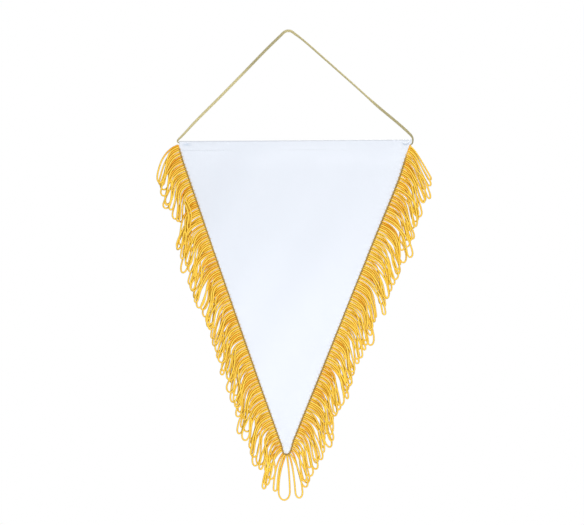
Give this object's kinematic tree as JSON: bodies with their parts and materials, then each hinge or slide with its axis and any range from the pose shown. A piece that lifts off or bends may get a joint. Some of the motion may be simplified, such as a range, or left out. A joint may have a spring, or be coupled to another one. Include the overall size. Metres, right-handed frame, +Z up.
{
  "type": "pennant flag with hem stick and hanging cord",
  "caption": "Triangular satin pennant, blank, with a stick in its top hem, a braided cord to hang it by and a gold loop fringe along both long sides.",
  "frame": {"origin": "underside of the cord at its peak, where the nail bears", "axes": "+Z up, +X to the right as seen from the front, the front faces -Y"},
  "size_m": [0.2406, 0.0085, 0.408],
  "materials": {
    "satin": "plain white satin with a soft cool sheen",
    "stick": "pale smooth wood",
    "braid": "flat olive gold braid",
    "yarn": "glossy golden yellow twisted yarn"
  },
  "bodies": {
    "root": {"cloth": "satin", "hem_stick": "stick", "hanging_cord": "braid", "fringe": "yarn"}
  },
  "joints": []
}
